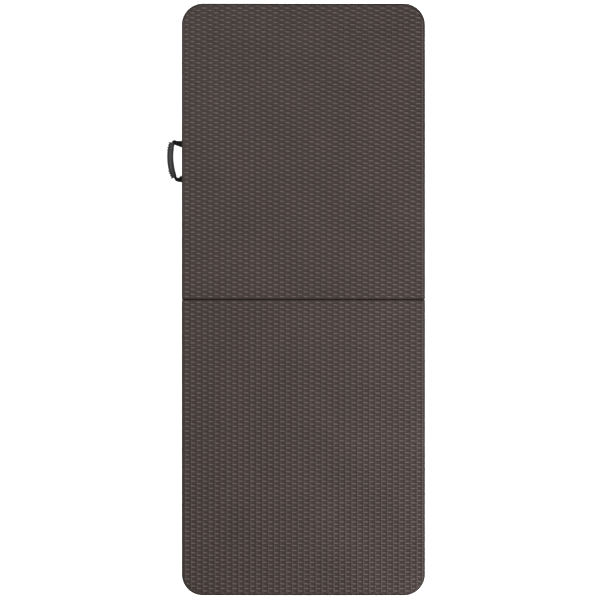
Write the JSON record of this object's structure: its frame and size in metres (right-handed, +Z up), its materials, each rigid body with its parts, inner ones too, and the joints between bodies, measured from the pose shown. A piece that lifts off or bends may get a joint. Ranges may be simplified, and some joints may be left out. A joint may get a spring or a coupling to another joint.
{
  "type": "folding table",
  "caption": "Bi-fold table with a hollow rattan-look moulded top, folding steel legs with jackknife braces, and a webbing carry handle.",
  "frame": {"origin": "on the top surface at the middle of the fold line, between the two halves", "axes": "+Z up, +Y along the length towards the half with the carry handle, the handle on the -X side"},
  "size_m": [0.7857, 1.8, 0.045],
  "materials": {
    "top_moulding": "satin, moulded weave",
    "coated_steel": "powder coated, satin",
    "zinc_steel": "zinc plated",
    "black_plastic": "satin",
    "webbing": "woven",
    "grip_rubber": "matt"
  },
  "bodies": {
    "panel_a": {"table_top_a": "top_moulding", "rail_a_left": "coated_steel", "rail_a_right": "coated_steel", "rail_screws_a": "zinc_steel", "hinge_rivets_a": "zinc_steel", "brace_bracket_a": "coated_steel", "bracket_screws_a": "zinc_steel", "brace_pin_a": "zinc_steel", "leg_clips_a": "black_plastic", "clip_screws_a": "zinc_steel", "strap_tails": "webbing", "strap_screws": "zinc_steel", "latch_pins": "zinc_steel"},
    "hinge_links": {"hinge_link_left": "coated_steel", "hinge_link_right": "coated_steel"},
    "panel_b": {"table_top_b": "top_moulding", "rail_b_left": "coated_steel", "rail_b_right": "coated_steel", "rail_screws_b": "zinc_steel", "hinge_rivets_b": "zinc_steel", "brace_bracket_b": "coated_steel", "bracket_screws_b": "zinc_steel", "brace_pin_b": "zinc_steel", "leg_clips_b": "black_plastic", "clip_screws_b": "zinc_steel", "latch_keepers": "zinc_steel"},
    "handle": {"carry_strap": "webbing", "carry_grip": "grip_rubber"},
    "latch_left": {"latch_left": "black_plastic"},
    "latch_right": {"latch_right": "black_plastic"},
    "legs_a": {"leg_frame_a": "coated_steel", "pivot_plugs_a": "black_plastic", "foot_caps_a": "black_plastic", "brace_foot_pin_a": "zinc_steel"},
    "upper_brace_a": {"brace_upper_a": "coated_steel", "knee_rivets_a": "zinc_steel"},
    "lower_brace_a": {"brace_lower_a": "coated_steel"},
    "legs_b": {"leg_frame_b": "coated_steel", "pivot_plugs_b": "black_plastic", "foot_caps_b": "black_plastic", "brace_foot_pin_b": "zinc_steel"},
    "upper_brace_b": {"brace_upper_b": "coated_steel", "knee_rivets_b": "zinc_steel"},
    "lower_brace_b": {"brace_lower_b": "coated_steel"}
  },
  "joints": [
    {"name": "panel_fold", "type": "hinge", "parent": "hinge_links", "child": "panel_b", "pos_m": [0, -0.011, -0.035], "axis": [1, 0, 0], "range_deg": [0, 90]},
    {"name": "link_fold", "type": "hinge", "parent": "panel_a", "child": "hinge_links", "pos_m": [0, 0.011, -0.035], "axis": [1, 0, 0], "range_deg": [0, 90]},
    {"name": "leg_a_fold", "type": "hinge", "parent": "panel_a", "child": "legs_a", "pos_m": [0, 0.79, -0.031], "axis": [-1, 0, 0], "range_deg": [-90, 0]},
    {"name": "brace_a_upper", "type": "hinge", "parent": "panel_a", "child": "upper_brace_a", "pos_m": [0, 0.39, -0.0225], "axis": [1, 0, 0], "range_deg": [-40.86, 0]},
    {"name": "brace_a_lower", "type": "hinge", "parent": "legs_a", "child": "lower_brace_a", "pos_m": [0, 0.46, -0.0225], "axis": [-1, 0, 0], "range_deg": [-49.16, 0]},
    {"name": "leg_b_fold", "type": "hinge", "parent": "panel_b", "child": "legs_b", "pos_m": [0, -0.79, -0.031], "axis": [1, 0, 0], "range_deg": [-90, 0]},
    {"name": "brace_b_upper", "type": "hinge", "parent": "panel_b", "child": "upper_brace_b", "pos_m": [0, -0.39, -0.0225], "axis": [-1, 0, 0], "range_deg": [-40.86, 0]},
    {"name": "brace_b_lower", "type": "hinge", "parent": "legs_b", "child": "lower_brace_b", "pos_m": [0, -0.46, -0.0225], "axis": [1, 0, 0], "range_deg": [-49.16, 0]},
    {"name": "handle_swing", "type": "hinge", "parent": "panel_a", "child": "handle", "pos_m": [-0.3712, 0.4205, -0.0422], "axis": [0, 1, 0], "range_deg": [-85, 45]},
    {"name": "latch_right_turn", "type": "hinge", "parent": "panel_a", "child": "latch_right", "pos_m": [0.2, 0.895, -0.031], "axis": [0, 1, 0], "range_deg": [0, 90]},
    {"name": "latch_left_turn", "type": "hinge", "parent": "panel_a", "child": "latch_left", "pos_m": [-0.2, 0.895, -0.031], "axis": [0, -1, 0], "range_deg": [0, 90]}
  ],
  "couplings": [
    {"joint": "brace_a_upper", "follows": "leg_a_fold", "ratio": 0.45386},
    {"joint": "brace_a_lower", "follows": "leg_a_fold", "ratio": 0.54614},
    {"joint": "brace_b_upper", "follows": "leg_b_fold", "ratio": 0.45386},
    {"joint": "brace_b_lower", "follows": "leg_b_fold", "ratio": 0.54614}
  ]
}
